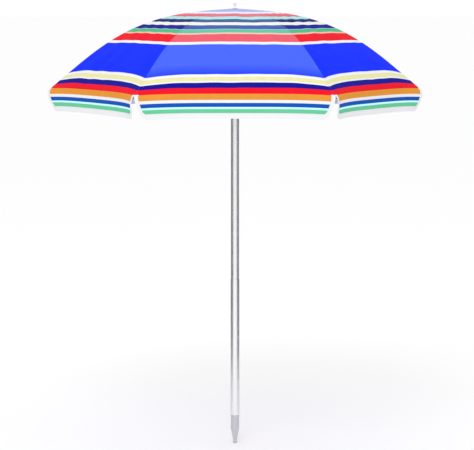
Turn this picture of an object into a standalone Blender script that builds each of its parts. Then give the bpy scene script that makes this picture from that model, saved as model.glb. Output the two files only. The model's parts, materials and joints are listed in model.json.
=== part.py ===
"""Beach umbrella: two-piece pole with a ground spike, sliding runner, six ribs and a striped canopy.

Metres, +Z up. The origin is the flat end of the ground spike, on the pole's axis, and the umbrella
stands open. Rib 0 points along +X and the others follow every 60 degrees.
"""

import math

import bmesh
import bpy
from mathutils import Matrix, Vector

# Whole umbrella
RIB_COUNT = 6
APEX_HEIGHT = 1.831  # canopy cloth at the pole's axis
HEM_ARC = 0.8565  # from the apex to the hem, measured along a rib
TOP_SLOPE = math.radians(4.0)  # canopy slope at the apex
EXTRA_SLOPE = math.radians(36.0)  # how much steeper it is at the hem
BEND_START = 0.04  # arc length where the slope starts to grow
BEND_LENGTH = 0.72

# Cloth
CLOTH_THICKNESS = 0.001
SEAM_GAP = 0.0004  # from a half-panel's edge to the seam or the mid-line
HOLE_ARC = 0.012  # the cloth starts here, round the finial's stud
VALANCE_DROP = 0.098
NOTCH_WIDTH = 0.028  # half the notch between two flaps, at the bottom
CORNER_RADIUS = 0.027
FLARE = 0.022  # how far a flap's free end stands out
TIGHT_RISE = 0.0025  # mid-line of a panel, over the straight chord between its ribs
BILLOW_RISE = 0.0125  # further out
HEM_PULL = 0.0095  # and how much of it is lost at the hem
HEM_HOLLOW = 0.012  # how far the hem curves in between two ribs

# Poles
UPPER_RADIUS = 0.017
UPPER_BORE = 0.016
UPPER_BOTTOM = 0.5403
UPPER_TOP = 1.8017
LOWER_RADIUS = 0.0182
LOWER_BORE = 0.0173
LOWER_BOTTOM = 0.1183
LOWER_TOP = 0.700

# Ribs and stretchers
ROD_RADIUS = 0.00225
STRETCHER_RADIUS = 0.002
PIVOT_RADIUS = 0.027  # ring wires, from the pole's axis
CROWN_PIVOT_Z = 1.812
RUNNER_PIVOT_Z = 1.5225
RIB_DEPTH = 0.006  # rod's centre under the cloth
HUB_DEPTH = 0.018  # the same at the crown
KNEE_ARC = 0.392  # arc length of the bracket
STRETCHER_DROP = 0.008  # stretcher's pivot under the rib's
WIRE_RADIUS = 0.001
HOLE_RADIUS = 0.00135
SLOT_WIDTH = 0.0053  # in the crown and the runner, for the rods' eyes
CHEEK_INNER = 0.0026  # faces of a bracket's cheek, from the rib's middle plane
CHEEK_OUTER = 0.0034
GAP = 0.0003

COLOURS = {
    "aluminium": ((0.80, 0.81, 0.83), 0.30, 1.0),
    "steel": ((0.60, 0.61, 0.62), 0.35, 1.0),
    "white_plastic": ((0.88, 0.88, 0.90), 0.45, 0.0),
    "cloth": ((0.05, 0.15, 0.75), 0.85, 0.0),
    "spring_steel": ((0.45, 0.46, 0.48), 0.30, 1.0),
}


# ------------------------------------------------------------------ helpers


def clear_scene():
    for thing in list(bpy.data.objects):
        bpy.data.objects.remove(thing, do_unlink=True)


def material(name, kind):
    colour, roughness, metallic = COLOURS[kind]
    made = bpy.data.materials.new(name)
    made.use_nodes = True
    shader = made.node_tree.nodes["Principled BSDF"]
    shader.inputs["Base Color"].default_value = (*colour, 1.0)
    shader.inputs["Roughness"].default_value = roughness
    shader.inputs["Metallic"].default_value = metallic
    return made


def mesh_from(shape, name):
    """A mesh from a bmesh, with its faces pointing out."""
    bmesh.ops.recalc_face_normals(shape, faces=shape.faces)
    made = bpy.data.meshes.new(name)
    shape.to_mesh(made)
    shape.free()
    return made


def node(name, mesh, kind, pivot=(0.0, 0.0, 0.0), turn=0.0):
    """An object whose mesh was drawn at turn 0, with its origin on its pivot."""
    if not mesh.materials:
        mesh.materials.append(material(name + "_finish", kind))
        mesh.transform(Matrix.Translation(-Vector(pivot)))
        mesh.shade_smooth()
        mesh.set_sharp_from_angle(angle=math.radians(30))
    made = bpy.data.objects.new(name, mesh)
    made.location = Matrix.Rotation(turn, 3, "Z") @ Vector(pivot)
    made.rotation_euler.z = turn
    bpy.context.scene.collection.objects.link(made)
    return made


def turned(profile, segments, closed=False):
    """A profile of (radius, height) points turned about Z. An open profile starts and ends on the axis."""
    shape = bmesh.new()
    rings = []
    for radius, height in profile:
        if radius == 0.0:
            rings.append([shape.verts.new((0, 0, height))])
            continue
        angles = [math.tau * k / segments for k in range(segments)]
        rings.append([shape.verts.new((radius * math.cos(a), radius * math.sin(a), height)) for a in angles])
    pairs = list(zip(rings, rings[1:]))
    if closed:
        pairs.append((rings[-1], rings[0]))
    for upper, lower in pairs:
        for k in range(segments):
            corners = [upper[k % len(upper)], upper[(k + 1) % len(upper)]]
            corners += [lower[(k + 1) % len(lower)], lower[k % len(lower)]]
            shape.faces.new(list(dict.fromkeys(corners)))
    return mesh_from(shape, "turned")


def tube(outer, bore, bottom, top, segments=36):
    return turned([(outer, top), (outer, bottom), (bore, bottom), (bore, top)], segments, closed=True)


def ring_wire(radius, height):
    """A round wire bent to a circle."""
    angles = [math.tau * k / 6 for k in range(6)]
    profile = [(radius + WIRE_RADIUS * math.cos(a), height + WIRE_RADIUS * math.sin(a)) for a in angles]
    return turned(profile, 24, closed=True)


def rod(points, radius, sides=8):
    """A round rod along points in the XZ plane, with flat ends."""
    shape = bmesh.new()
    rings = []
    for k, point in enumerate(points):
        before = points[max(k - 1, 0)]
        after = points[min(k + 1, len(points) - 1)]
        along = (after - before).normalized()
        up = Vector((-along.z, 0, along.x))
        side = Vector((0, 1, 0))
        angles = [math.tau * (n + 0.5) / sides for n in range(sides)]
        spokes = [math.cos(a) * up + math.sin(a) * side for a in angles]
        rings.append([shape.verts.new(point + radius * spoke) for spoke in spokes])
    for near, far in zip(rings, rings[1:]):
        for n in range(sides):
            shape.faces.new((near[n], near[(n + 1) % sides], far[(n + 1) % sides], far[n]))
    shape.faces.new(rings[0])
    shape.faces.new(rings[-1])
    return mesh_from(shape, "rod")


def plate(outline, low, high, across="Y"):
    """An outline extruded from low to high. It is drawn in XZ across Y, or in YZ across X."""
    shape = bmesh.new()
    ends = []
    for depth in (low, high):
        if across == "Y":
            ends.append([shape.verts.new((x, depth, z)) for x, z in outline])
        else:
            ends.append([shape.verts.new((depth, y, z)) for y, z in outline])
    count = len(outline)
    for k in range(count):
        shape.faces.new((ends[0][k], ends[0][(k + 1) % count], ends[1][(k + 1) % count], ends[1][k]))
    shape.faces.new(ends[0])
    shape.faces.new(ends[1])
    return mesh_from(shape, "plate")


def disc(centre, radius, half_width, sides=12):
    """A short round bar across Y, as an eye, a rivet or a hole."""
    angles = [math.tau * k / sides for k in range(sides)]
    outline = [(centre.x + radius * math.cos(a), centre.z + radius * math.sin(a)) for a in angles]
    return plate(outline, -half_width, half_width)


def box(low, high):
    outline = [(low[0], low[2]), (high[0], low[2]), (high[0], high[2]), (low[0], high[2])]
    return plate(outline, low[1], high[1])


def combined(mesh, *steps):
    """The mesh after Boolean steps, each an operation and the mesh of its tool."""
    body = bpy.data.objects.new("body", mesh)
    bpy.context.scene.collection.objects.link(body)
    tools = []
    for operation, tool_mesh in steps:
        tool = bpy.data.objects.new("tool", tool_mesh)
        tool.hide_render = True
        tool.display_type = "WIRE"
        bpy.context.scene.collection.objects.link(tool)
        tools.append(tool)
        modifier = body.modifiers.new(operation, "BOOLEAN")
        modifier.operation = operation
        modifier.solver = "EXACT"
        modifier.object = tool
    graph = bpy.context.evaluated_depsgraph_get()
    made = bpy.data.meshes.new_from_object(body.evaluated_get(graph))
    for thing in (body, *tools):
        bpy.data.objects.remove(thing)
    return made


def radial_slots(inner, low, high, width):
    """One box for each rib, from the inner radius outward."""
    slots = []
    for index in range(RIB_COUNT):
        slot = box((inner, -width / 2, low), (0.05, width / 2, high))
        slot.transform(Matrix.Rotation(math.tau * index / RIB_COUNT, 4, "Z"))
        slots.append(("DIFFERENCE", slot))
    return slots


# ------------------------------------------------------- shape of the canopy


def smoothstep(value):
    value = min(max(value, 0.0), 1.0)
    return value * value * (3 - 2 * value)


def slope_at(arc):
    return TOP_SLOPE + EXTRA_SLOPE * smoothstep((arc - BEND_START) / BEND_LENGTH)


def profile_at(arc):
    """(radius, height) of the cloth over a rib at an arc length from the apex."""
    count = 60
    step = arc / count
    radius, height = 0.0, APEX_HEIGHT
    for k in range(count):
        slope = slope_at((k + 0.5) * step)
        radius += math.cos(slope) * step
        height -= math.sin(slope) * step
    return radius, height


def rib_point(arc):
    """The rib rod's centre line, under the cloth."""
    radius, height = profile_at(arc)
    slope = slope_at(arc)
    depth = RIB_DEPTH + (HUB_DEPTH - RIB_DEPTH) * max(0.0, 1 - arc / KNEE_ARC) ** 2
    return Vector((radius - depth * math.sin(slope), 0, height - depth * math.cos(slope)))


def mid_arch(share):
    """How far a panel's mid-line stands above the straight chord between two ribs. share is 1 at the hem."""
    tight = TIGHT_RISE * smoothstep(share / 0.30)
    billow = BILLOW_RISE * smoothstep((share - 0.66) / 0.26)
    return tight + billow - HEM_PULL * smoothstep((share - 0.93) / 0.07)


def cloth_point(arc, across, side):
    """A point of a half-panel. across runs from 0 on the rib to 1 on the panel's mid-line."""
    radius, height = profile_at(arc)
    hem_radius = profile_at(HEM_ARC)[0]
    bulge = 2 * across - across**2
    middle = Vector((math.cos(math.pi / RIB_COUNT), side * math.sin(math.pi / RIB_COUNT), 0))
    point = Vector((radius, 0, height)).lerp(radius * math.cos(math.pi / RIB_COUNT) * middle
                                             + Vector((0, 0, height)), across)
    point.z += mid_arch(radius / hem_radius) * bulge
    return point - HEM_HOLLOW * smoothstep((radius / hem_radius - 0.6) / 0.4) * bulge * middle


def valance_point(drop, along, side):
    """A point of a flap. drop is 0 at the fold and 1 at the lower edge; along is 0 on the free end."""
    length = profile_at(HEM_ARC)[0] * math.sin(math.pi / RIB_COUNT)
    below = drop * VALANCE_DROP
    start = max(NOTCH_WIDTH * drop**0.8, SEAM_GAP)
    over = below - (VALANCE_DROP - CORNER_RADIUS)
    if over > 0:
        start += 0.7 * (CORNER_RADIUS - math.sqrt(max(CORNER_RADIUS**2 - over**2, 0.0)))
    first = start / length
    across = first + (1 - SEAM_GAP / length - first) * along
    point = cloth_point(HEM_ARC, across, side)
    point.z -= below
    flare = FLARE * math.sin(math.pi * min(drop, 1) ** 0.6) * (1 - across) ** 4
    return point + Vector((flare, 0, 0))


# ------------------------------------------------------------------- pieces


def make_poles():
    node("lower_pole", tube(LOWER_RADIUS, LOWER_BORE, LOWER_BOTTOM, LOWER_TOP), "aluminium")
    slot = box((-0.0046, -0.03, 1.4195), (0.0046, -0.008, 1.4393))
    upper = combined(tube(UPPER_RADIUS, UPPER_BORE, UPPER_BOTTOM, UPPER_TOP), ("DIFFERENCE", slot))
    node("upper_pole", upper, "aluminium")


def make_spike():
    profile = [(0, 0.150), (0.0169, 0.150), (0.0169, 0.118), (0.018, 0.118), (0.018, 0.059)]
    profile += [(0.0083, 0.012), (0.0083, 0.0), (0, 0)]
    node("ground_spike", turned(profile, 32), "aluminium")


def make_foot_bush():
    """Nylon foot of the upper pole, which turns and slides in the lower one."""
    node("pole_foot_bush", tube(0.0169, 0.006, 0.520, 0.540, 28), "white_plastic")


def make_crown():
    """Hub with a socket for the pole, a flange with six slots and a groove for the ring wire."""
    profile = [(0.0033, 1.8255), (0.020, 1.8255), (0.0335, 1.8235), (0.0335, 1.7995)]
    profile += [(0.0215, 1.7995), (0.0200, 1.786), (0.01735, 1.786), (0.01735, 1.802), (0.0033, 1.802)]
    groove = tube(0.045, 0.0256, CROWN_PIVOT_Z - 0.0013, CROWN_PIVOT_Z + 0.0013)
    steps = [("DIFFERENCE", groove), *radial_slots(0.0217, 1.79, 1.84, SLOT_WIDTH)]
    node("crown_hub", combined(turned(profile, 36, closed=True), *steps), "white_plastic")
    node("crown_ring_wire", ring_wire(PIVOT_RADIUS, CROWN_PIVOT_Z), "steel")


def make_finial():
    """Ball on a neck, with a flange over the patch and a stud down into the hub."""
    ball_radius, ball_height = 0.0083, 1.8515
    angles = [math.radians(a) for a in range(90, -70, -18)]
    ball = [(ball_radius * math.cos(a), ball_height + ball_radius * math.sin(a)) for a in angles[1:]]
    profile = [(0, ball_height + ball_radius), *ball, (0.0035, 1.8437), (0.0042, 1.8365), (0.011, 1.8350)]
    profile += [(0.011, 1.8334), (0.003, 1.8334), (0.003, 1.808), (0, 1.808)]
    node("finial", turned(profile, 18), "white_plastic")


def make_top_patch():
    """Disc that clamps the cloth round the stud."""
    profile = [(0.0036, 1.8329), (0.026, 1.8320), (0.026, 1.8307), (0.012, 1.8314), (0.0036, 1.8317)]
    node("canopy_top_patch", turned(profile, 28, closed=True), "white_plastic")


def make_runner():
    """Sleeve on the upper pole, with a flange like the crown's."""
    profile = [(0.0175, 1.532), (0.0230, 1.532), (0.0325, 1.530), (0.0325, 1.514), (0.0225, 1.512)]
    profile += [(0.0222, 1.452), (0.0245, 1.448), (0.0245, 1.440), (0.0175, 1.440)]
    groove = tube(0.045, 0.0256, RUNNER_PIVOT_Z - 0.0013, RUNNER_PIVOT_Z + 0.0013)
    steps = [("DIFFERENCE", groove), *radial_slots(0.0232, 1.505, 1.54, SLOT_WIDTH)]
    node("runner", combined(turned(profile, 36, closed=True), *steps), "white_plastic")
    node("runner_ring_wire", ring_wire(PIVOT_RADIUS, RUNNER_PIVOT_Z), "steel")


def make_catch():
    """Leaf spring in the upper pole, with its nose through the slot, under the runner."""
    leaf_in, leaf_out, tip = -0.0142, -0.0150, -0.0208
    outline = [(leaf_in, 1.36), (leaf_out, 1.36), (leaf_out, 1.4215), (tip, 1.433)]
    outline += [(tip, 1.4385), (leaf_in, 1.4385)]
    node("runner_catch", plate(outline, -0.004, 0.004, across="X"), "spring_steel", (0, leaf_in, 1.36))


def knee_points():
    """The rib's pivot in the bracket, and the stretcher's pivot under it."""
    knee = rib_point(KNEE_ARC)
    slope = slope_at(KNEE_ARC)
    return knee, knee - STRETCHER_DROP * Vector((math.sin(slope), 0, math.cos(slope)))


def inner_rib_mesh(crown):
    """Rod from the crown to the bracket, with an eye on the crown's ring wire."""
    count = 6
    start, end = 0.07, KNEE_ARC - 0.0040
    points = [crown + Vector((0.001, 0, 0))]
    points += [rib_point(start + (end - start) * k / (count - 1)) for k in range(count)]
    steps = [("UNION", disc(crown, 0.0036, 0.0020)), ("DIFFERENCE", disc(crown, HOLE_RADIUS, 0.01))]
    return combined(rod(points, ROD_RADIUS), *steps)


def outer_rib_mesh(knee):
    """Rod from the bracket to the tip, with an eye for its rivet."""
    count = 7
    start, end = KNEE_ARC + 0.012, HEM_ARC - 0.0115
    points = [knee + Vector((0.001, 0, -0.0003))]
    points += [rib_point(start + (end - start) * k / (count - 1)) for k in range(count)]
    steps = [("UNION", disc(knee, 0.0029, 0.0020)), ("DIFFERENCE", disc(knee, HOLE_RADIUS, 0.01))]
    return combined(rod(points, ROD_RADIUS), *steps)


def bracket_mesh(knee, pivot):
    """Two steel cheeks with a web under the inner rod and a cross pin for the outer one."""
    along = Vector((math.cos(slope_at(KNEE_ARC)), 0, -math.sin(slope_at(KNEE_ARC))))
    up = (knee - pivot).normalized()

    def outline(corners):
        placed = [knee + a * along + b * up for a, b in corners]
        return [(point.x, point.z) for point in placed]

    cheek = outline([(-0.022, 0.0022), (0.0035, 0.0024), (0.0042, -0.0035), (0.0032, -0.0112),
                     (-0.0032, -0.0112), (-0.0065, -0.0052), (-0.022, -0.0048)])
    web = outline([(-0.0215, -0.0036), (-0.0070, -0.0036), (-0.0070, -0.0046), (-0.0215, -0.0046)])
    steps = [
        ("UNION", plate(cheek, CHEEK_INNER, CHEEK_OUTER)),
        ("UNION", plate(web, -0.0030, 0.0030)),
        ("UNION", disc(knee, WIRE_RADIUS, 0.0030, 8)),
        ("DIFFERENCE", disc(pivot, HOLE_RADIUS, 0.01)),
    ]
    return combined(plate(cheek, -CHEEK_OUTER, -CHEEK_INNER), *steps)


def rivet_mesh(pivot):
    """Rivet across the bracket, with a head on both sides."""
    return combined(disc(pivot, WIRE_RADIUS, 0.0040, 8), ("UNION", rivet_head(pivot, 1)),
                    ("UNION", rivet_head(pivot, -1)))


def rivet_head(centre, side):
    half_width = 0.0004
    head = disc(centre, 0.0019, half_width, 10)
    head.transform(Matrix.Translation((0, side * (CHEEK_OUTER + GAP + half_width), 0)))
    return head


def stretcher_mesh(runner, pivot):
    """Rod from the bracket down to the runner: an eye at the top, and an open hook on the ring wire."""
    along = (pivot - runner).normalized()
    mouth_top = runner + 0.006 * Vector((-along.x, 0, -along.z))
    side = Vector((-along.z, 0, along.x)) * 0.0009
    mouth = [runner + side, runner - side, mouth_top - side, mouth_top + side]
    steps = [
        ("UNION", disc(pivot, 0.0031, 0.0020)),
        ("UNION", disc(runner, 0.0031, 0.0016)),
        ("DIFFERENCE", disc(pivot, HOLE_RADIUS, 0.01)),
        ("DIFFERENCE", disc(runner, HOLE_RADIUS, 0.01)),
        ("DIFFERENCE", plate([(p.x, p.z) for p in mouth], -0.01, 0.01)),
    ]
    return combined(rod([runner + 0.0012 * along, pivot - 0.0012 * along], STRETCHER_RADIUS), *steps)


def tip_cap_mesh():
    """Plastic cap over the rib's end."""
    start = rib_point(HEM_ARC - 0.0190)
    end = rib_point(HEM_ARC - 0.0112)
    along = (end - start).normalized()
    bore = rod([start - 0.01 * along, end + GAP * along], ROD_RADIUS + GAP)
    body = rod([start, end + 0.0035 * along, end + 0.0050 * along], 0.0033, 10)
    return combined(body, ("DIFFERENCE", bore))


def make_ribs():
    crown = Vector((PIVOT_RADIUS, 0, CROWN_PIVOT_Z))
    runner = Vector((PIVOT_RADIUS, 0, RUNNER_PIVOT_Z))
    knee, pivot = knee_points()
    pieces = [
        ("rib_{}_inner", inner_rib_mesh(crown), "steel", crown),
        ("rib_{}_outer", outer_rib_mesh(knee), "steel", knee),
        ("rib_{}_bracket", bracket_mesh(knee, pivot), "steel", knee),
        ("stretcher_{}_rivet", rivet_mesh(pivot), "steel", pivot),
        ("rib_{}_tip_cap", tip_cap_mesh(), "white_plastic", knee),
        ("stretcher_{}", stretcher_mesh(runner, pivot), "steel", pivot),
    ]
    for name, mesh, kind, origin in pieces:
        for index in range(RIB_COUNT):
            node(name.format(index + 1), mesh, kind, origin, math.tau * index / RIB_COUNT)


def half_panel_mesh(side):
    """A closed shell for the cloth between a rib and the panel's mid-line, with half its flap."""
    canopy_rows, flap_drops, columns = 13, (0.18, 0.42, 0.68, 0.88, 1.0), 4
    rows = []
    for k in range(canopy_rows + 1):
        arc = HOLE_ARC + (HEM_ARC - HOLE_ARC) * k / canopy_rows
        length = profile_at(arc)[0] * math.sin(math.pi / RIB_COUNT)
        edge = SEAM_GAP / length
        slope = slope_at(arc) if k < canopy_rows else math.radians(60)
        points = [cloth_point(arc, edge + (1 - 2 * edge) * n / columns, side) for n in range(columns + 1)]
        rows.append((points, slope))
    for drop in flap_drops:
        points = [valance_point(drop, n / columns, side) for n in range(columns + 1)]
        rows.append((points, math.radians(90)))
    shape = bmesh.new()
    faces_of_cloth = []
    for sign in (1, -1):
        grid = []
        for points, slope in rows:
            line = []
            for point in points:
                outward = Vector((point.x, point.y, 0)).normalized()
                lift = math.sin(slope) * outward + Vector((0, 0, math.cos(slope)))
                line.append(shape.verts.new(point + sign * CLOTH_THICKNESS / 2 * lift))
            grid.append(line)
        faces_of_cloth.append(grid)
    upper, lower = faces_of_cloth
    last = columns
    for near, far in zip(range(len(rows) - 1), range(1, len(rows))):
        for n in range(columns):
            for grid in (upper, lower):
                shape.faces.new((grid[near][n], grid[near][n + 1], grid[far][n + 1], grid[far][n]))
        for n in (0, last):
            shape.faces.new((upper[near][n], upper[far][n], lower[far][n], lower[near][n]))
    for k in (0, len(rows) - 1):
        for n in range(columns):
            shape.faces.new((upper[k][n], upper[k][n + 1], lower[k][n + 1], lower[k][n]))
    bmesh.ops.triangulate(shape, faces=shape.faces)
    return mesh_from(shape, "half_panel")


def make_canopy():
    apex = (0, 0, APEX_HEIGHT)
    for label, side in (("left", 1), ("right", -1)):
        mesh = half_panel_mesh(side)
        for index in range(RIB_COUNT):
            node(f"panel_{index + 1}_{label}", mesh, "cloth", apex, math.tau * index / RIB_COUNT)


clear_scene()
make_spike()
make_poles()
make_foot_bush()
make_crown()
make_top_patch()
make_finial()
make_runner()
make_catch()
make_ribs()
make_canopy()
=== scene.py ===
# %% [markdown]
# # A striped beach umbrella
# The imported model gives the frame: a two-piece pole with a ground spike, a runner, a crown, six steel
# ribs and their stretchers, and twelve plain half-panels for the canopy. This lesson dresses that frame:
# it sews the striped cloth, binds its flaps, turns the lower pole, the spike and the finial smoothly, and
# gives every part a finish that starts from what the real part is made of.

# %% Load the frame
import json
import math

import bpy
from mathutils import Matrix, Vector, noise


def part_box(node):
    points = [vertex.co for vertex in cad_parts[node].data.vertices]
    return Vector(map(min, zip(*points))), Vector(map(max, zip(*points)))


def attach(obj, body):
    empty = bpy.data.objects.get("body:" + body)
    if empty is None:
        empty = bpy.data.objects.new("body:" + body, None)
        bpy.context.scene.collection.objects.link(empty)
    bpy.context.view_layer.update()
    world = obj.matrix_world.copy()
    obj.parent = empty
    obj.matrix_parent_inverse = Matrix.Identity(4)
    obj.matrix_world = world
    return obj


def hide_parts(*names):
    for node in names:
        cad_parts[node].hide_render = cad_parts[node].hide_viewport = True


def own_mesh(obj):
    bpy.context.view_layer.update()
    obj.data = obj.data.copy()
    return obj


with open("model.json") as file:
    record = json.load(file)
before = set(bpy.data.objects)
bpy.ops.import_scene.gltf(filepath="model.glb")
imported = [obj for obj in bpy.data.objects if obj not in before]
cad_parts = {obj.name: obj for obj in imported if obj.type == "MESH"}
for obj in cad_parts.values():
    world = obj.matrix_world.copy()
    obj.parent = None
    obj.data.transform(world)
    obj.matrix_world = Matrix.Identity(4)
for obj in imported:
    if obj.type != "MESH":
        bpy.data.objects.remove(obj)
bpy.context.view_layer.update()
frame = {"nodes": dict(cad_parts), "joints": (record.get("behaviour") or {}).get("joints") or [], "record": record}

joints = {joint["name"]: joint for joint in frame["joints"]}
RIB_COUNT = 6
RIB_TURNS = [math.tau * index / RIB_COUNT for index in range(RIB_COUNT)]

# %% [markdown]
# ## Small helpers
# Every new piece below is one of two kinds of mesh: a grid of points for cloth and tape, or an outline
# turned about the pole for tubes and mouldings. Rows of points are behind both, so one function makes
# their faces. The ribs, stretchers, hub and runner of the frame have their real shapes already, and only
# need a finish.

# %% Mesh helpers
def piece_from(name, points, faces, turn=0.0):
    """An object from points and faces, turned about the pole and smoothly shaded."""
    mesh = bpy.data.meshes.new(name)
    mesh.from_pydata([tuple(point) for point in points], [], faces)
    mesh.transform(Matrix.Rotation(turn, 4, "Z"))
    mesh.update()
    mesh.shade_smooth()
    made = bpy.data.objects.new(name, mesh)
    bpy.context.scene.collection.objects.link(made)
    return made


def grid_faces(rows, columns, around=False, flip=False):
    """Quads between rows of points. around joins each row's last point to its first."""
    faces = []
    for row in range(rows - 1):
        for column in range(columns if around else columns - 1):
            right = (column + 1) % columns
            near, far = row * columns, (row + 1) * columns
            quad = (near + column, near + right, far + right, far + column)
            faces.append(quad[::-1] if flip else quad)
    return faces


BESIDE_ARC = 0.15  # how far past an arc its support point is, in shares of the arc's reach


def rounded(outline, radius, steps=3):
    """An outline of (radius, height) points with each corner cut to a small arc, as edges really are.

    A point beside each arc keeps the long faces between them evenly shaded.
    """
    made = []
    for before, corner, after in zip(outline[-1:] + outline[:-1], outline, outline[1:] + outline[:1]):
        corner, before, after = Vector(corner), Vector(before), Vector(after)
        reach = min(radius, (before - corner).length * 0.4, (after - corner).length * 0.4)
        start = corner + (before - corner).normalized() * reach
        end = corner + (after - corner).normalized() * reach
        made.append(start + (start - corner) * BESIDE_ARC)
        for step in range(steps + 1):
            t = step / steps
            made.append((1 - t) ** 2 * start + 2 * t * (1 - t) * corner + t**2 * end)
        made.append(end + (end - corner) * BESIDE_ARC)
    return made


def turned(name, outline, segments=72):
    """A closed outline of (radius, height) points turned about the pole."""
    points = []
    for radius, height in outline:
        for k in range(segments):
            angle = math.tau * k / segments
            points.append((radius * math.cos(angle), radius * math.sin(angle), height))
    faces = grid_faces(len(outline), segments, around=True)
    last = (len(outline) - 1) * segments
    for k in range(segments):
        right = (k + 1) % segments
        faces.append((last + k, last + right, right, k))
    return piece_from(name, points, faces)


print("mesh helpers ready, for", RIB_COUNT, "ribs")

# %% [markdown]
# ## The line of the canopy
# A rib bends more and more towards its tip, so the cloth is nearly level at the crown and steep at the
# hem. The slope grows along the rib by a smooth step, and adding up the slope gives radius and height.
# The cloth lies on the steel ribs of the frame. It is cut a little small on the real
# object and stretched over the ribs' tips, which is why it follows one clean curve without sagging.

# %% Canopy profile
APEX = Vector(joints["panel_1_left_fold"]["pos_m"])
HEM_ARC = 0.8565  # metres of rib from the apex to the hem
HOLE_ARC = 0.0055  # the cloth starts round the finial's stud
TOP_SLOPE = math.radians(4)
EXTRA_SLOPE = math.radians(36)
BEND_START = 0.04
BEND_LENGTH = 0.72
HALF_PANEL = math.pi / RIB_COUNT  # angle from a rib to the middle of a panel


def smoothstep(value):
    value = min(max(value, 0.0), 1.0)
    return value * value * (3 - 2 * value)


def slope_at(arc):
    return TOP_SLOPE + EXTRA_SLOPE * smoothstep((arc - BEND_START) / BEND_LENGTH)


def profile_at(arc, steps=60):
    """(radius, height) of the cloth over a rib."""
    slopes = [slope_at(arc * (k + 0.5) / steps) for k in range(steps)]
    radius = sum(math.cos(slope) for slope in slopes) * arc / steps
    drop = sum(math.sin(slope) for slope in slopes) * arc / steps
    return radius, APEX.z - drop


HEM_RADIUS, HEM_HEIGHT = profile_at(HEM_ARC)
HEM_HALF = HEM_RADIUS * math.sin(HALF_PANEL)  # from a rib tip to the middle of the hem
print(f"hem at radius {HEM_RADIUS:.3f} m, height {HEM_HEIGHT:.3f} m")

# %% [markdown]
# ## One half-panel of cloth
# Each panel is one cloth from rib to rib. It is made here in two halves that meet along the panel's
# middle, because that is where the cloth creases when the umbrella closes. The two halves share the same
# line of points there, and the surface is level across it, so no join shows while it is open.
# Between two ribs the cloth is stretched almost straight. It stands a few millimetres proud of the
# straight chord, billows more further out, and is pulled tight and inward again at the hem. A few numbers
# do this, and they are easier to tune than a simulated cloth.
# Real cloth is never quite smooth: soft folds run down from the crown, and they fade out at the ribs.

# %% Cloth surface
TIGHT_RISE = 0.0025  # metres that a panel's middle stands over the straight chord near the crown
BILLOW_RISE = 0.0140  # and how much more further out
HEM_PULL = 0.0095  # what the stretched hem takes back
HEM_HOLLOW = 0.012  # how far the hem's middle is pulled inward
LONG_FOLD = 0.0022  # heights of the soft folds
FINE_FOLD = 0.0009


def middle_of(side):
    return Vector((math.cos(HALF_PANEL), side * math.sin(HALF_PANEL), 0))


def arch_at(share):
    """Height of a panel's middle over the straight line between its ribs. share is 1 at the hem."""
    tight = TIGHT_RISE * smoothstep(share / 0.30)
    billow = BILLOW_RISE * smoothstep((share - 0.66) / 0.26)
    return tight + billow - HEM_PULL * smoothstep((share - 0.94) / 0.06)


def cloth_point(arc, across, side):
    """A point of the canopy. across is 0 on the rib and 1 on the panel's middle."""
    radius, height = profile_at(arc)
    share = radius / HEM_RADIUS
    fullness = 2 + 2 * smoothstep((share - 0.6) / 0.3)  # further out the billow rises faster from a rib
    bulge = 1 - (1 - across) ** fullness
    flat = Vector((radius, 0, 0)).lerp(radius * math.cos(HALF_PANEL) * middle_of(side), across)
    pull = HEM_HOLLOW * smoothstep((share - 0.6) / 0.4) * (2 * across - across**2)
    return flat + Vector((0, 0, height + arch_at(share) * bulge)) - pull * middle_of(side)


def soft_folds(point, arc, across, turn):
    """How far the cloth stands out of its smooth shape, from noise read where the point really is."""
    place = Matrix.Rotation(turn, 3, "Z") @ point
    around = math.atan2(place.y, place.x)
    long_folds = noise.noise((around * 7.0, arc * 2.2, 1.7))
    fine_folds = noise.noise(place * 17.0)
    free = min(across * 5, 1.0) * smoothstep(arc / 0.30)
    return (LONG_FOLD * long_folds + FINE_FOLD * fine_folds) * free


hem_middle = cloth_point(HEM_ARC, 1.0, 1)
print(f"the hem's middle is {(HEM_HEIGHT - hem_middle.z) * -1000:.1f} mm over the rib tips")

# %% [markdown]
# ## The hanging flap
# Below the hem the cloth hangs straight down as a flap, the valance. Each flap ends short of the rib tips
# in an open notch, its lower corners are round, and its free ends lift outward a little. The flap is laid
# out flat first, with x along the hem and y downward, and then hung, so that the binding tape can follow
# the same outline on the same surface.

# %% Flap surface
FLAP_DROP = 0.098
NOTCH_HALF = 0.028  # half the width of a notch at the flap's lower edge
CORNER = 0.027  # radius of a lower corner
FLARE = 0.022  # how far the free ends lift outward
FLAP_WAVE = 0.0042


def flap_start(y):
    """Where the flap's free end is, in metres from the rib, at y below the hem."""
    start = NOTCH_HALF * (y / FLAP_DROP) ** 0.8
    over = y - (FLAP_DROP - CORNER)
    if over > 0:
        start += 0.7 * (CORNER - math.sqrt(max(CORNER**2 - over**2, 0.0)))
    return start


def flap_point(x, y, side, turn):
    """A point of the hung flap, x metres from the rib and y metres below the hem."""
    across = min(x / HEM_HALF, 1.0)
    drop = min(y / FLAP_DROP, 1.0)
    point = cloth_point(HEM_ARC, across, side)
    point.z -= y
    lift = FLARE * math.sin(math.pi * max(drop, 0.0) ** 0.6) * (1 - across) ** 4
    place = Matrix.Rotation(turn, 3, "Z") @ point
    wave = FLAP_WAVE * noise.noise((place.x * 9, place.y * 9, 4.0)) * smoothstep(drop * 1.2)
    return point + Vector((lift, 0, 0)) + wave * middle_of(side)


print(f"flap {FLAP_DROP * 1000:.0f} mm deep")

# %% [markdown]
# The half-panel's mesh runs from the crown to the flap's lower edge in one sheet, so nothing gapes at the
# fold. Its map is laid out in metres: across from the rib, and down from the crown. The stripes and the
# weave are then drawn at their real size from that map. Woven stripes are straight, but near the crown the
# cloth is eased in between the ribs, so they bow down there by up to 12 mm.

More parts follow.
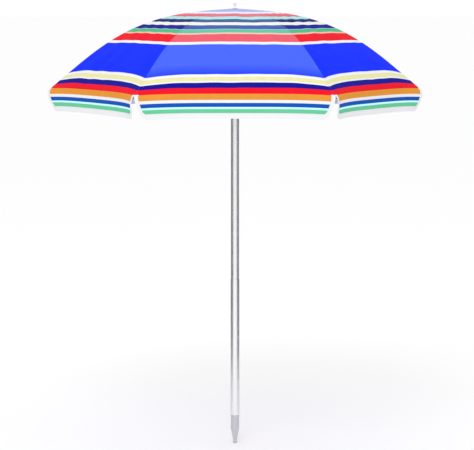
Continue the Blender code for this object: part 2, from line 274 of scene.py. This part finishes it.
# %% Half-panel mesh
CANOPY_ROWS = 66
FLAP_ROWS = 22
COLUMNS = 21
CLOTH_THICKNESS = 0.0004
STRIPE_SAG = 0.012


def stripe_sag(arc, across):
    """How far a stripe bows down between two ribs."""
    eased = smoothstep(arc / 0.12) * (1 - smoothstep((arc - 0.36) / 0.10))
    return STRIPE_SAG * eased * (2 * across - across**2)


def cloth_rows(side, turn):
    """Rows of (point, across in metres, down in metres)."""
    rows = []
    for k in range(CANOPY_ROWS + 1):
        arc = HOLE_ARC + (HEM_ARC - HOLE_ARC) * k / CANOPY_ROWS
        half = profile_at(arc)[0] * math.sin(HALF_PANEL)
        row = []
        for n in range(COLUMNS):
            across = n / (COLUMNS - 1)
            point = cloth_point(arc, across, side)
            fade = 1 - smoothstep((arc - HEM_ARC + 0.03) / 0.03)
            point.z += soft_folds(point, arc, across, turn) * fade
            row.append((point, across * half, arc - stripe_sag(arc, across)))
        rows.append(row)
    for k in range(1, FLAP_ROWS + 1):
        y = FLAP_DROP * math.sin(math.pi / 2 * k / FLAP_ROWS)
        start = flap_start(y)
        row = []
        for n in range(COLUMNS):
            x = start + (HEM_HALF - start) * n / (COLUMNS - 1)
            row.append((flap_point(x, y, side, turn), x, HEM_ARC + y))
        rows.append(row)
    return rows


def add_map(made, places):
    """A map in metres, one place for each point."""
    layer = made.data.uv_layers.new(name="metres")
    for loop in made.data.loops:
        layer.data[loop.index].uv = places[loop.vertex_index]


def thicken(made, thickness):
    """Gives a sheet its thickness, half to each side, with crisp cut edges."""
    modifier = made.modifiers.new("thickness", "SOLIDIFY")
    modifier.thickness = thickness
    modifier.offset = 0.0
    graph = bpy.context.evaluated_depsgraph_get()
    made.data = bpy.data.meshes.new_from_object(made.evaluated_get(graph))
    made.modifiers.clear()
    made.data.set_sharp_from_angle(angle=math.radians(60))


def half_panel(name, side, turn):
    rows = cloth_rows(side, turn)
    flat = [entry for row in rows for entry in row]
    faces = grid_faces(len(rows), COLUMNS, flip=side > 0)
    made = piece_from(name, [entry[0] for entry in flat], faces, turn)
    add_map(made, [(entry[1], entry[2]) for entry in flat])
    thicken(made, CLOTH_THICKNESS)
    return made


SIDES = {"left": 1, "right": -1}
cloth = {}
for index, turn in enumerate(RIB_TURNS):
    for label, side in SIDES.items():
        cloth[index + 1, label] = half_panel(f"cloth_{index + 1}_{label}", side, turn)
print(len(cloth), "half-panels of cloth")

# %% [markdown]
# ## Binding tape
# A raw edge of woven cloth frays, so a white tape is folded over it and stitched down: narrow on the
# flap's ends and wide along the bottom. Here the tape is a strip that follows the outline, a little
# thicker than the cloth it wraps. Its map runs along the tape, for the stitches.

# %% Binding strips
END_TAPE = 0.011  # widths of the tape
BOTTOM_TAPE = 0.021
TAPE_THICKNESS = 0.0013
TAPE_COLUMNS = 5
OVERHANG = 0.0007  # the tape is folded round the edge, so it reaches past it


def flap_outline():
    """Points down the free end, round the corner and along the bottom to the middle."""
    down = [FLAP_DROP * math.sin(math.pi / 2 * k / 30) for k in range(31)]
    end = [Vector((flap_start(y), y)) for y in down]
    first = end[-1].x
    bottom = [Vector((first + (HEM_HALF - first) * k / 24, FLAP_DROP)) for k in range(1, 25)]
    return end + bottom


def tape_rows(side, turn):
    outline = flap_outline()
    rows, run = [], 0.0
    for k, place in enumerate(outline):
        before, after = outline[max(k - 1, 0)], outline[min(k + 1, len(outline) - 1)]
        along = (after - before).normalized()
        inward = Vector((along.y, -along.x))
        width = END_TAPE + (BOTTOM_TAPE - END_TAPE) * smoothstep(along.x)
        run += (place - before).length
        row = []
        for n in range(TAPE_COLUMNS):
            share = n / (TAPE_COLUMNS - 1)
            spot = place + inward * (width * share - OVERHANG)
            spot.x = min(spot.x, HEM_HALF)
            spot.y = max(spot.y, 0.0008)
            row.append((flap_point(spot.x, spot.y, side, turn), run, width * (1 - share)))
        rows.append(row)
    return rows


def binding(name, side, turn):
    rows = tape_rows(side, turn)
    flat = [entry for row in rows for entry in row]
    faces = grid_faces(len(rows), TAPE_COLUMNS, flip=side > 0)
    made = piece_from(name, [entry[0] for entry in flat], faces, turn)
    add_map(made, [(entry[1], entry[2]) for entry in flat])
    thicken(made, TAPE_THICKNESS)
    return made


tapes = {}
for index, turn in enumerate(RIB_TURNS):
    for label, side in SIDES.items():
        tapes[index + 1, label] = binding(f"binding_{index + 1}_{label}", side, turn)
print(len(tapes), "strips of binding tape")

# %% [markdown]
# ## Felled seams
# Two panels are joined along each rib by a felled seam: both edges are folded over each other and stitched
# twice, which leaves a flat ridge 11 mm wide on top. Each half-panel carries its own half of the ridge, on
# the same surface as its cloth and a fraction of a millimetre above it, so the two halves meet on the rib
# and still part when the umbrella closes.

# %% Seam ridges
SEAM_HALF = 0.0055
SEAM_LIFT = 0.0008
SEAM_START, SEAM_END = 0.030, HEM_ARC - 0.001
SEAM_ROWS, SEAM_COLUMNS = 56, 4


def seam_ridge(name, side, turn):
    flat = []
    for k in range(SEAM_ROWS):
        arc = SEAM_START + (SEAM_END - SEAM_START) * k / (SEAM_ROWS - 1)
        half = profile_at(arc)[0] * math.sin(HALF_PANEL)
        for n in range(SEAM_COLUMNS):
            share = n / (SEAM_COLUMNS - 1)
            x = SEAM_HALF * share
            point = cloth_point(arc, x / half, side)
            point.z += SEAM_LIFT * (1 - 0.5 * share**4)
            flat.append((point, x, arc))
    faces = grid_faces(SEAM_ROWS, SEAM_COLUMNS, flip=side > 0)
    made = piece_from(name, [entry[0] for entry in flat], faces, turn)
    add_map(made, [(entry[1], entry[2]) for entry in flat])
    thicken(made, CLOTH_THICKNESS)
    return made


seams = {}
for index, turn in enumerate(RIB_TURNS):
    for label, side in SIDES.items():
        seams[index + 1, label] = seam_ridge(f"seam_{index + 1}_{label}", side, turn)
print(len(seams), "half-ridges of seam")

# %% [markdown]
# ## Poles and spike
# The poles are drawn aluminium tube, sawn to length, with the edges of the cut broken so that they don't
# scratch. The spike is turned from bar, with a shoulder where the tube stops and a blunt tip. Both are
# outlines turned about the pole's axis. The upper pole keeps its own solid, because it has the slot that
# the runner's catch goes through.

# %% Turned metal
def span(node):
    low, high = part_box(node)
    return low[2], high[2], (high[0] - low[0]) / 2


def tube_outline(node, wall):
    low, high, radius = span(node)
    return rounded([(radius, high), (radius - wall, high), (radius - wall, low), (radius, low)], 0.0005)


TUBE_WALL = 0.0009
AXIS = 0.0001  # an outline stops this far from the axis, so that no faces collapse
SHANK_RADIUS, SHOULDER, CONE_TOP = 0.0169, 0.118, 0.061  # the shank goes up into the tube
TIP_RADIUS, TIP_TOP = 0.0083, 0.012
lower_pole = turned("lower_tube", tube_outline("lower_pole", TUBE_WALL), 96)
spike_low, spike_top, spike_radius = span("ground_spike")
spike = turned("spike", rounded([
    (AXIS, spike_top), (SHANK_RADIUS, spike_top), (SHANK_RADIUS, SHOULDER), (spike_radius, SHOULDER),
    (spike_radius, CONE_TOP), (TIP_RADIUS, TIP_TOP), (TIP_RADIUS, spike_low), (AXIS, spike_low),
], 0.0012), 96)
print(f"lower pole {span('lower_pole')[2] * 2000:.1f} mm across, spike cone {CONE_TOP * 1000:.0f} mm long")

# %% [markdown]
# ## Finial
# A small white ball on a waisted neck screws down on the canopy's centre. It is moulded, so its outline
# is one flowing curve from the washer-like foot to the ball. The disc under it presses the cloth on the
# hub.

# %% Finial and top patch
BALL_RADIUS = 0.0083
FOOT_TOP, FOOT_LOW = 1.8350, 1.8334  # heights of the foot's upper and lower face
STUD_RADIUS = 0.0029
PATCH_HOLE = 0.0037
finial_low, finial_top, _ = span("finial")
ball_height = finial_top - BALL_RADIUS
ball = [(BALL_RADIUS * math.cos(math.radians(a)), ball_height + BALL_RADIUS * math.sin(math.radians(a)))
        for a in range(88, -64, -8)]
foot = [(0.0034, ball_height - 0.0078), (0.0036, ball_height - 0.012), (0.0048, ball_height - 0.0150),
        (0.0108, FOOT_TOP), (0.0110, 1.8345), (0.0108, FOOT_LOW), (STUD_RADIUS, FOOT_LOW),
        (STUD_RADIUS, finial_low), (AXIS, finial_low), (AXIS, finial_top)]
finial = turned("finial_ball", [Vector(p) for p in ball + foot], 48)
patch_low, patch_top, patch_radius = span("canopy_top_patch")
patch = turned("top_patch", rounded([
    (PATCH_HOLE, patch_top), (patch_radius, patch_top - 0.0009),
    (patch_radius, patch_low), (PATCH_HOLE, patch_low + 0.0010),
], 0.0005), 72)
print(f"finial ball {BALL_RADIUS * 2000:.1f} mm across")

# %% [markdown]
# ## Materials
# Colours are written as screen hex values, and one function turns them to linear light. One small
# function adds a node with its settings and links. Each material is named for what it is and how its
# surface was made.

# %% Colour and node helpers
def linear(code):
    """An sRGB hex colour as linear (r, g, b, 1)."""
    parts = [int(code[k:k + 2], 16) / 255 for k in (1, 3, 5)]
    return tuple(c / 12.92 if c <= 0.04045 else ((c + 0.055) / 1.055) ** 2.4 for c in parts) + (1.0,)


def add(tree, kind, sockets=None, **settings):
    """A shader node. sockets gives an input a value, or another node's output to link."""
    made = tree.nodes.new("ShaderNode" + kind)
    for name, value in settings.items():
        setattr(made, name, value)
    for name, value in (sockets or {}).items():
        if isinstance(value, bpy.types.NodeSocket):
            tree.links.new(value, made.inputs[name])
        else:
            made.inputs[name].default_value = value
    return made


def new_material(name, **values):
    """A Principled material, its tree and its shader. Spaces in socket names are written as _."""
    made = bpy.data.materials.new(name)
    made.use_nodes = True
    shader = made.node_tree.nodes["Principled BSDF"]
    for key, value in values.items():
        shader.inputs[key.replace("_", " ")].default_value = value
    return made, made.node_tree, shader


TAPE_WHITE = "#E6E7EA"
print("the tape's white in linear light is", [round(c, 3) for c in linear(TAPE_WHITE)])

# %% [markdown]
# ### Woven polyester canopy
# The canopy is plain-woven polyester with stripes of dyed yarn: flat, saturated colour with hardly any
# gloss. The stripes lie at fixed distances from the crown, so a ramp over the map's second coordinate, in
# metres, holds one colour for each. A row of lock stitches runs along each side of every rib, 3.8 mm from
# it. A pale blue-white is mixed in as painted sheen: on the level crown of all six panels, and a little all
# the way down the panel that faces the front, fading out before the flap's stripes.
# A real thread is 0.3 mm wide, too fine to show, so the weave is drawn at 1.1 mm.

# %% Canopy cloth
YARN = {
    "lavender": "#A49CDC", "white": "#E8E8EC", "red": "#E81328", "pale cyan": "#A4DED8", "navy": "#041470",
    "cream": "#E8E8DC", "green": "#4CB480", "peach": "#ECBAA6", "mid blue": "#062CF8",
    "yellow": "#E0DDA2", "deep blue": "#141490", "orange": "#E09436", "flap blue": "#1452B2",
    "flap cyan": "#C8FFFF", "flap green": "#6AC697",
}
# (yarn, width in millimetres), from the crown to the flap's lower edge
STRIPES = [
    ("lavender", 162), ("white", 48), ("red", 63), ("pale cyan", 38.5), ("navy", 37.5), ("cream", 34),
    ("deep blue", 45.5), ("pale cyan", 4), ("green", 29.5), ("peach", 13), ("red", 56.5), ("white", 21.5),
    ("mid blue", 208), ("white", 15), ("yellow", 21), ("white", 9), ("deep blue", 23), ("red", 27.5),
    ("orange", 24), ("white", 11), ("flap blue", 15), ("flap cyan", 9), ("flap green", 18), ("white", 60),
]
THREAD = 0.0011
STITCH = 0.003  # length of one lock stitch
SEAM_STITCH = 0.0038  # from the rib to the row of stitches
# A pale blue-white mixed into the yarns as painted sheen, then how much of it lies on every panel's crown and on
# the front panel further down
PAINTED_SHEEN = "#B4E4FF"
CROWN_SHEEN = 0.26
FRONT_SHEEN = 0.13


def stripe_ramp(tree, down):
    ramp = add(tree, "ValToRGB", {"Fac": down})
    ramp.color_ramp.interpolation = "CONSTANT"
    stops = ramp.color_ramp.elements
    stops.remove(stops[1])
    start = 0.0
    for count, (yarn, width) in enumerate(STRIPES):
        stop = stops[0] if count == 0 else stops.new(start)
        stop.position = start
        stop.color = linear(YARN[yarn])
        start += width / 1000
    return ramp


def weave_height(tree, place, thread):
    """Plain weave: warp and weft waves multiplied, so threads go over and under."""
    parts = add(tree, "SeparateXYZ", {"Vector": place})
    waves = []
    for axis in ("X", "Y"):
        turns = add(tree, "Math", {0: parts.outputs[axis], 1: math.pi / thread}, operation="MULTIPLY")
        waves.append(add(tree, "Math", {0: turns.outputs[0]}, operation="SINE"))
    return add(tree, "Math", {0: waves[0].outputs[0], 1: waves[1].outputs[0]}, operation="MULTIPLY")


def stitches(tree, across, along, centre):
    """0.5 on a dashed line of fine thread at a distance across, and 0 elsewhere."""
    line = add(tree, "Math", {0: across, 1: centre, 2: 0.0004}, operation="COMPARE")
    run = add(tree, "Math", {0: along, 1: STITCH}, operation="DIVIDE")
    part = add(tree, "Math", {0: run.outputs[0]}, operation="FRACT")
    dash = add(tree, "Math", {0: part.outputs[0], 1: 0.72}, operation="LESS_THAN")
    mask = add(tree, "Math", {0: line.outputs[0], 1: dash.outputs[0]}, operation="MULTIPLY")
    return add(tree, "Math", {0: mask.outputs[0], 1: 0.5}, operation="MULTIPLY").outputs[0]


def canopy_cloth(name, sheen_below_crown):
    """The second argument is how much painted sheen is mixed into the yarns below the crown, from 0 to 1."""
    made, tree, shader = new_material(name, Roughness=0.7, Specular_IOR_Level=0.05)
    place = add(tree, "UVMap", uv_map="metres").outputs["UV"]
    parts = add(tree, "SeparateXYZ", {"Vector": place})
    ramp = stripe_ramp(tree, parts.outputs["Y"])
    # Painted sheen: the pale blue-white is mixed in at the crown, thins to the finish's own amount between 0.20
    # and 0.34 m, and stops between 0.70 and 0.79 m
    crown = add(tree, "MapRange", {"Value": parts.outputs["Y"], "From Min": 0.20, "From Max": 0.34,
                                   "To Min": CROWN_SHEEN, "To Max": sheen_below_crown})
    sheen_cutoff = add(tree, "MapRange", {"Value": parts.outputs["Y"], "From Min": 0.70, "From Max": 0.79,
                                    "To Min": 1.0, "To Max": 0.0})
    sheen_amount = add(tree, "Math", {0: crown.outputs[0], 1: sheen_cutoff.outputs[0]}, operation="MULTIPLY")
    yarn = add(tree, "MixRGB", {0: sheen_amount.outputs[0], 1: ramp.outputs["Color"], 2: linear(PAINTED_SHEEN)})
    aside = add(tree, "Math", {0: parts.outputs["X"]}, operation="ABSOLUTE").outputs[0]
    thread = stitches(tree, aside, parts.outputs["Y"], SEAM_STITCH)
    sewn = add(tree, "MixRGB", {0: thread, 1: yarn.outputs[0], 2: linear("#6C7CD0")})
    weave = weave_height(tree, place, THREAD)
    spots = add(tree, "TexNoise", {"Vector": place, "Scale": 35.0, "Detail": 4.0})
    shade = add(tree, "MapRange", {"Value": spots.outputs["Fac"], "From Min": 0.3, "From Max": 0.7,
                                   "To Min": 0.95, "To Max": 1.0})
    # Painted shade: where the weave sinks, the colour is up to 4% darker; the spots are the cloth's own uneven
    # tone
    weave_painted_shade = add(tree, "MapRange", {"Value": weave.outputs[0], "From Min": -1.0, "From Max": 1.0,
                                          "To Min": 0.96, "To Max": 1.0})
    both = add(tree, "Math", {0: shade.outputs[0], 1: weave_painted_shade.outputs[0]}, operation="MULTIPLY")
    tint = add(tree, "MixRGB", {0: 1.0, 1: sewn.outputs[0], 2: both.outputs[0]}, blend_type="MULTIPLY")
    tree.links.new(tint.outputs[0], shader.inputs["Base Color"])
    bump = add(tree, "Bump", {"Height": weave.outputs[0], "Strength": 0.12, "Distance": 0.0003})
    tree.links.new(bump.outputs[0], shader.inputs["Normal"])
    return made


# Both finishes have painted sheen on the crown; the front panel's finish also has it all the way down to the flap
canopy_finish = canopy_cloth("woven polyester canopy", 0.0)
front_sheen_finish = canopy_cloth("woven polyester canopy, painted front sheen", FRONT_SHEEN)
print("stripes reach", sum(width for _, width in STRIPES), "mm from the crown")

# %% [markdown]
# ### Binding tape
# White twill tape with a soft sheen, and a row of lock stitches 2 mm from its inner edge. A stitch is
# 3 mm long. The twill's ribs are drawn at 1.2 mm, about twice as coarse as they really are.

# %% Tape finish
def tape_finish():
    made, tree, shader = new_material("white polyester twill tape", Roughness=0.7, Sheen_Weight=0.15)
    place = add(tree, "UVMap", uv_map="metres").outputs["UV"]
    weave = weave_height(tree, place, 0.0012)
    # Painted shade: where the weave sinks, the colour is up to 7% darker
    shade = add(tree, "MapRange", {"Value": weave.outputs[0], "From Min": -1.0, "From Max": 1.0,
                                   "To Min": 0.93, "To Max": 1.0})
    parts = add(tree, "SeparateXYZ", {"Vector": place})
    thread = stitches(tree, parts.outputs["Y"], parts.outputs["X"], 0.002)
    sewn = add(tree, "MixRGB", {0: thread, 1: linear(TAPE_WHITE), 2: linear("#8E929C")})
    tint = add(tree, "MixRGB", {0: 1.0, 1: sewn.outputs[0], 2: shade.outputs[0]}, blend_type="MULTIPLY")
    tree.links.new(tint.outputs[0], shader.inputs["Base Color"])
    bump = add(tree, "Bump", {"Height": weave.outputs[0], "Strength": 0.2, "Distance": 0.0003})
    tree.links.new(bump.outputs[0], shader.inputs["Normal"])
    return made


binding_finish = tape_finish()
print("made", binding_finish.name)

# %% [markdown]
# ### Metals and plastics
# Drawn aluminium tube has fine lines along its length, from the die it is pulled through, and a dark edge tint
# that darkens it where it turns away, as painted shade. The spike's bar has fine rings from the lathe. Zinc-plated
# steel is greyer and slightly mottled. The mouldings are white ABS with a satin mould finish.

# %% Metal and plastic finishes
def metal(name, code, roughness, grain, stretch, edge=1.0):
    """edge is the tint of the reflection where the metal turns away; below 1 it darkens the flanks as painted
    shade.
    """
    made, tree, shader = new_material(name, Metallic=1.0, Roughness=roughness,
                                      Specular_Tint=(edge, edge, edge, 1.0))
    place = add(tree, "TexCoord").outputs["Object"]
    drawn = add(tree, "Mapping", {"Vector": place, "Scale": stretch})
    lines = add(tree, "TexNoise", {"Vector": drawn.outputs[0], "Scale": grain, "Detail": 5.0})
    shade = add(tree, "MapRange", {"Value": lines.outputs["Fac"], "From Min": 0.3, "From Max": 0.7,
                                   "To Min": 0.90, "To Max": 1.0})
    tint = add(tree, "MixRGB", {0: 1.0, 1: linear(code), 2: shade.outputs[0]}, blend_type="MULTIPLY")
    tree.links.new(tint.outputs[0], shader.inputs["Base Color"])
    rough = add(tree, "MapRange", {"Value": lines.outputs["Fac"], "From Min": 0.3, "From Max": 0.7,
                                   "To Min": roughness - 0.06, "To Max": roughness + 0.08})
    tree.links.new(rough.outputs[0], shader.inputs["Roughness"])
    return made


def plastic(name, code, roughness):
    made, tree, shader = new_material(name, Roughness=roughness, IOR=1.53)
    place = add(tree, "TexCoord").outputs["Object"]
    clouds = add(tree, "TexNoise", {"Vector": place, "Scale": 60.0, "Detail": 3.0})
    shade = add(tree, "MapRange", {"Value": clouds.outputs["Fac"], "From Min": 0.3, "From Max": 0.7,
                                   "To Min": 0.96, "To Max": 1.0})
    tint = add(tree, "MixRGB", {0: 1.0, 1: linear(code), 2: shade.outputs[0]}, blend_type="MULTIPLY")
    tree.links.new(tint.outputs[0], shader.inputs["Base Color"])
    grain = add(tree, "TexNoise", {"Vector": place, "Scale": 900.0, "Detail": 2.0})
    bump = add(tree, "Bump", {"Height": grain.outputs["Fac"], "Strength": 0.08, "Distance": 0.0002})
    tree.links.new(bump.outputs[0], shader.inputs["Normal"])
    return made


# The tube's 0.35 edge tint darkens its flanks: painted shade
tube_finish = metal("drawn bright aluminium", "#F4F4F6", 0.26, 90.0, (6.0, 6.0, 0.25), 0.35)
spike_finish = metal("turned aluminium bar", "#CFD0D4", 0.30, 60.0, (1.0, 1.0, 8.0))
steel_finish = metal("zinc-plated steel", "#A9ACB0", 0.34, 240.0, (1.0, 1.0, 1.0))
abs_finish = plastic("moulded white ABS", "#E9E9F0", 0.38)
print("finishes:", ", ".join(m.name for m in (tube_finish, spike_finish, steel_finish, abs_finish)))

# %% [markdown]
# Every plain solid names the kind of material it is made of, so one table gives each its finish. The ribs,
# stretchers, wires, hub, runner and upper pole are seen like this. The cloth, the lower pole, the spike and
# the finial take the place of their plain solids in the next step.

# %% Give every plain solid its finish
def finish_with(made, material):
    made.data.materials.clear()
    made.data.materials.append(material)


NODE_FINISH = {"aluminium_tube": tube_finish, "spike_metal": spike_finish, "steel_rod": steel_finish,
               "white_plastic": abs_finish, "canopy_cloth": canopy_finish}
for part in frame["record"]["subparts"]:
    finish_with(frame["nodes"][part["node"]], NODE_FINISH[part["material_slot"]])

# %% [markdown]
# ## Hang every piece on the frame
# Each piece rides on the body that carries it, and the plain solid it stands for is hidden. The seam ridge
# and the tape ride on the same panel body as the cloth they are sewn to.

# %% Ride and replace
def hang(made, body, material, replaced=()):
    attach(made, body)
    if replaced:
        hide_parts(*replaced)
    finish_with(made, material)


hang(lower_pole, "lower_pole", tube_finish, ["lower_pole"])
hang(spike, "lower_pole", spike_finish, ["ground_spike"])
hang(finial, "upper_pole", abs_finish, ["finial"])
hang(patch, "upper_pole", abs_finish, ["canopy_top_patch"])

# The two halves of the front panel, which take the finish with painted sheen all the way down
FRONT = ("panel_5_left", "panel_6_right")


for (number, label), made in cloth.items():
    body = f"panel_{number}_{label}"
    # The front panel's halves get the finish with painted sheen
    finish = front_sheen_finish if body in FRONT else canopy_finish
    tape, seam = tapes[number, label], seams[number, label]
    hang(made, body, finish, [body])
    hang(seam, body, finish)
    hang(tape, body, binding_finish)
    for soft in (made, seam, tape):
        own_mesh(soft)

# %% [markdown]
# ## Studio
# A pale floor, a large soft light over the front and a bright surround keep the colours clean. A round
# bright pole in an all-white room shows no edges, so two grey cards stand at its sides, as they would in a
# real studio. They are seen only in what the metal mirrors.

# %% Floor, cards and light
FLOOR_REACH = 300  # far enough that no edge of the floor shows
CARD_X = 1.5
CARD_BACK, CARD_FRONT, CARD_TOP = 2.8, -1.3, 2.3
SURROUND_STRENGTH = 1.02


def floor():
    corners = [(-1, -1), (1, -1), (1, 1), (-1, 1)]
    made = piece_from("studio_floor", [(x * FLOOR_REACH, y * FLOOR_REACH, 0) for x, y in corners],
                      [(0, 1, 2, 3)])
    material, tree, shader = new_material("pale studio floor", Roughness=0.9)
    clouds = add(tree, "TexNoise", {"Scale": 2.0})
    shade = add(tree, "MapRange", {"Value": clouds.outputs["Fac"], "To Min": 0.97, "To Max": 1.0})
    tint = add(tree, "MixRGB", {0: 1.0, 1: linear("#FCFCFC"), 2: shade.outputs[0]}, blend_type="MULTIPLY")
    tree.links.new(tint.outputs[0], shader.inputs["Base Color"])
    made.data.materials.append(material)
    made.location.z = -0.002


def grey_card(name, x):
    """A grey card at one side, which is only seen mirrored in the metal."""
    corners = [(x, CARD_FRONT, 0), (x, CARD_BACK, 0), (x, CARD_BACK, CARD_TOP), (x, CARD_FRONT, CARD_TOP)]
    made = piece_from(name, corners, [(0, 1, 2, 3)])
    material, _, _ = new_material("grey velvet card", Base_Color=linear("#8E8E8E"), Roughness=1.0)
    made.data.materials.append(material)
    made.visible_camera = False
    made.visible_diffuse = False
    made.visible_shadow = False


def soft_light(name, place, target, size, power):
    data = bpy.data.lights.new(name, "AREA")
    data.shape = "DISK"
    data.size = size
    data.energy = power
    lamp = bpy.data.objects.new(name, data)
    lamp.location = place
    lamp.rotation_euler = (Vector(target) - Vector(place)).to_track_quat("-Z", "Y").to_euler()
    bpy.context.scene.collection.objects.link(lamp)


floor()
grey_card("left_card", -CARD_X)
grey_card("right_card", CARD_X)
soft_light("key", place=(-0.8, -4.6, 5.6), target=(0, 0, 1.3), size=3.0, power=90)
bpy.context.scene.view_settings.view_transform = "Standard"
world = bpy.data.worlds.new("surround")
world.use_nodes = True
surround = world.node_tree.nodes["Background"]
surround.inputs["Color"].default_value = (1.0, 1.0, 1.0, 1.0)
surround.inputs["Strength"].default_value = SURROUND_STRENGTH
bpy.context.scene.world = world
print("stage: a floor, two side cards, one soft light and a white surround")

# %% [markdown]
# The camera stands level with the crown and a good way off, so the umbrella is seen with little
# perspective: the front panel's hem is nearly straight, and the canopy's far side stays hidden.

# %% Camera
CAMERA_DISTANCE = 8.4
CAMERA_HEIGHT = 1.85
LENS = 152.86  # millimetres: the umbrella fills the height of the picture
AIM = Vector((0.0084, 0, 0.9277))
camera_data = bpy.data.cameras.new("camera")
camera_data.lens = LENS
camera = bpy.data.objects.new("camera", camera_data)
camera.location = (AIM.x, -CAMERA_DISTANCE, CAMERA_HEIGHT)
camera.rotation_euler = (AIM - camera.location).to_track_quat("-Z", "Y").to_euler()
bpy.context.scene.collection.objects.link(camera)
bpy.context.scene.camera = camera
print(f"camera {CAMERA_DISTANCE} m in front, {CAMERA_HEIGHT} m up")
